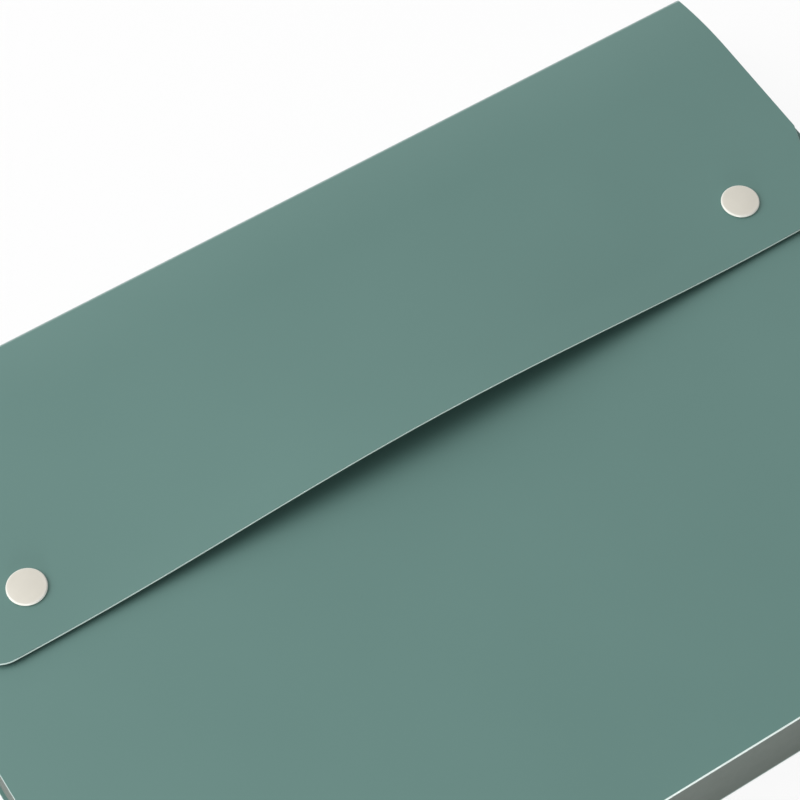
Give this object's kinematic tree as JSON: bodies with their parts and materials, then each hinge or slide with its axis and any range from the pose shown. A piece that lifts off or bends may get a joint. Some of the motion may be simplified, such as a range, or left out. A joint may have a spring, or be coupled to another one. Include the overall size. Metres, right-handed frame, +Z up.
{
  "type": "accordion file folder",
  "caption": "Expanding file of plastic sheet for A4 papers: pleated pocket body between covers, spine and a bowed flap held by two round snap fasteners.",
  "frame": {"origin": "under the middle of the back cover, on the surface the file lies on", "axes": "+Z up from the back cover to the front cover, +Y towards the top fold and spine, +X to the right seen from the front"},
  "size_m": [0.328, 0.236, 0.0394],
  "materials": {
    "cover_green": "satin dusty green polypropylene sheet with a very fine grain",
    "body_grey": "thin neutral grey polypropylene sheet",
    "snap_cream": "smooth moulded cream plastic",
    "label_paper": "blank white paper"
  },
  "bodies": {
    "back": {"back_cover": "cover_green", "lower_crease": "cover_green", "back_leaf": "body_grey", "index_label_1": "label_paper", "bottom_panel": "body_grey", "gusset_left": "body_grey", "gusset_right": "body_grey"},
    "spine": {"top_spine": "cover_green", "upper_crease": "cover_green"},
    "flap": {"flap": "cover_green", "snap_cap_left": "snap_cream", "snap_cap_right": "snap_cream", "snap_socket_left": "snap_cream", "snap_socket_right": "snap_cream"},
    "front": {"front_cover": "cover_green", "front_leaf": "body_grey", "snap_stud_left": "snap_cream", "snap_stud_right": "snap_cream", "stud_cap_left": "snap_cream", "stud_cap_right": "snap_cream"},
    "divider_1": {"divider_1": "body_grey", "index_label_2": "label_paper"},
    "divider_2": {"divider_2": "body_grey", "index_label_3": "label_paper"},
    "divider_3": {"divider_3": "body_grey", "index_label_4": "label_paper"},
    "divider_4": {"divider_4": "body_grey", "index_label_5": "label_paper"}
  },
  "joints": [
    {"name": "spine_hinge", "type": "hinge", "parent": "back", "child": "spine", "pos_m": [0, 0.11759, 0.00041], "axis": [-1, 0, 0], "range_deg": [0, 90], "deforming": ["lower_crease"]},
    {"name": "flap_hinge", "type": "hinge", "parent": "spine", "child": "flap", "pos_m": [0, 0.1177, 0.0279], "axis": [-1, 0, 0], "range_deg": [0, 180], "deforming": ["upper_crease"]},
    {"name": "divider_1_hinge", "type": "hinge", "parent": "back", "child": "divider_1", "pos_m": [0, -0.1172, 0.0065], "axis": [1, 0, 0], "range_deg": [0, 4.32], "deforming": ["gusset_left", "gusset_right"]},
    {"name": "divider_2_hinge", "type": "hinge", "parent": "back", "child": "divider_2", "pos_m": [0, -0.1172, 0.012], "axis": [1, 0, 0], "range_deg": [0, 8.64], "deforming": ["gusset_left", "gusset_right"]},
    {"name": "divider_3_hinge", "type": "hinge", "parent": "back", "child": "divider_3", "pos_m": [0, -0.1172, 0.0175], "axis": [1, 0, 0], "range_deg": [0, 12.96], "deforming": ["gusset_left", "gusset_right"]},
    {"name": "divider_4_hinge", "type": "hinge", "parent": "back", "child": "divider_4", "pos_m": [0, -0.1172, 0.023], "axis": [1, 0, 0], "range_deg": [0, 17.28], "deforming": ["gusset_left", "gusset_right"]},
    {"name": "front_hinge", "type": "hinge", "parent": "back", "child": "front", "pos_m": [0, -0.1177, 0.0282], "axis": [1, 0, 0], "range_deg": [0, 21.6], "deforming": ["gusset_left", "gusset_right"]}
  ],
  "couplings": [
    {"joint": "divider_1_hinge", "follows": "flap_hinge", "ratio": 0.024},
    {"joint": "divider_2_hinge", "follows": "flap_hinge", "ratio": 0.048},
    {"joint": "divider_3_hinge", "follows": "flap_hinge", "ratio": 0.072},
    {"joint": "divider_4_hinge", "follows": "flap_hinge", "ratio": 0.096},
    {"joint": "front_hinge", "follows": "flap_hinge", "ratio": 0.12}
  ]
}
